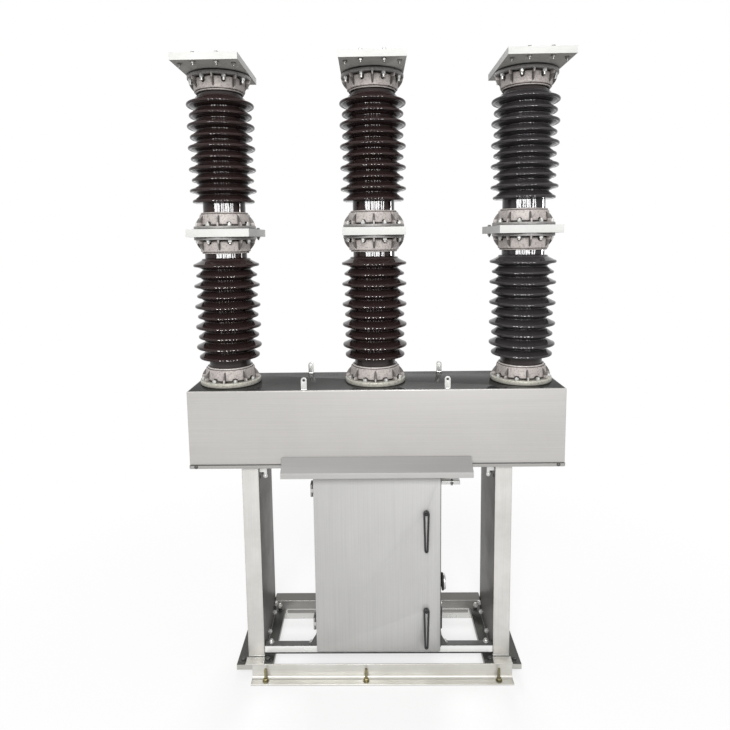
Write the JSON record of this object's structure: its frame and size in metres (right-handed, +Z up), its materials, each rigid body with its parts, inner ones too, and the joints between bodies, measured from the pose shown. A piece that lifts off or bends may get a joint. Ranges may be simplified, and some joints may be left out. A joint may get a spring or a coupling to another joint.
{
  "type": "outdoor vacuum circuit breaker",
  "caption": "Three-pole outdoor vacuum circuit breaker with ribbed porcelain insulators on a steel drive beam, leg frame and mechanism cabinet.",
  "frame": {"origin": "on the ground, in the middle of the base under the centre pole", "axes": "+X to the right seen from the door side, +Y to the back, +Z up along the poles"},
  "size_m": [1.748, 0.539, 2.885],
  "materials": {
    "porcelain": "dark reddish-brown gloss glaze",
    "cast_fitting": "sand-cast grey aluminium, slightly rough",
    "terminal": "bright milled aluminium, silvered",
    "stainless": "brushed stainless sheet and section",
    "cabinet_sheet": "fine-brushed stainless sheet",
    "zinc_steel": "bright zinc-plated steel",
    "handle_black": "satin black"
  },
  "bodies": {
    "frame": {"base_casting_left": "cast_fitting", "base_casting_centre": "cast_fitting", "base_casting_right": "cast_fitting", "lower_insulator_left": "porcelain", "lower_insulator_centre": "porcelain", "lower_insulator_right": "porcelain", "lower_fitting_left": "cast_fitting", "lower_fitting_centre": "cast_fitting", "lower_fitting_right": "cast_fitting", "mid_terminal_left": "terminal", "mid_terminal_centre": "terminal", "mid_terminal_right": "terminal", "upper_fitting_left": "cast_fitting", "upper_fitting_centre": "cast_fitting", "upper_fitting_right": "cast_fitting", "upper_insulator_left": "porcelain", "upper_insulator_centre": "porcelain", "upper_insulator_right": "porcelain", "top_fitting_left": "cast_fitting", "top_fitting_centre": "cast_fitting", "top_fitting_right": "cast_fitting", "top_terminal_left": "terminal", "top_terminal_centre": "terminal", "top_terminal_right": "terminal", "beam_housing": "stainless", "beam_cover": "stainless", "lifting_lugs": "zinc_steel", "leg_left": "stainless", "leg_right": "stainless", "side_rail_left": "stainless", "side_rail_right": "stainless", "base_angle_front": "stainless", "base_angle_back": "stainless", "cross_member_front": "stainless", "cross_member_back": "stainless", "cabinet": "cabinet_sheet", "cabinet_hood": "cabinet_sheet", "cabinet_brackets": "zinc_steel", "hinge_leaves": "zinc_steel", "lever_bracket": "zinc_steel", "crank_cover": "zinc_steel"},
    "door": {"cabinet_door": "cabinet_sheet"},
    "upper_handle": {"upper_handle": "handle_black"},
    "lower_handle": {"lower_handle": "handle_black"}
  },
  "joints": [
    {"name": "door_swing", "type": "hinge", "parent": "frame", "child": "door", "pos_m": [-0.305, -0.1875, 0.595], "axis": [0, 0, -1], "range_deg": [0, 110]},
    {"name": "upper_handle_turn", "type": "hinge", "parent": "door", "child": "upper_handle", "pos_m": [0.23, -0.209, 0.821], "axis": [0, 1, 0], "range_deg": [0, 90]},
    {"name": "lower_handle_turn", "type": "hinge", "parent": "door", "child": "lower_handle", "pos_m": [0.23, -0.209, 0.333], "axis": [0, 1, 0], "range_deg": [0, 90]}
  ]
}
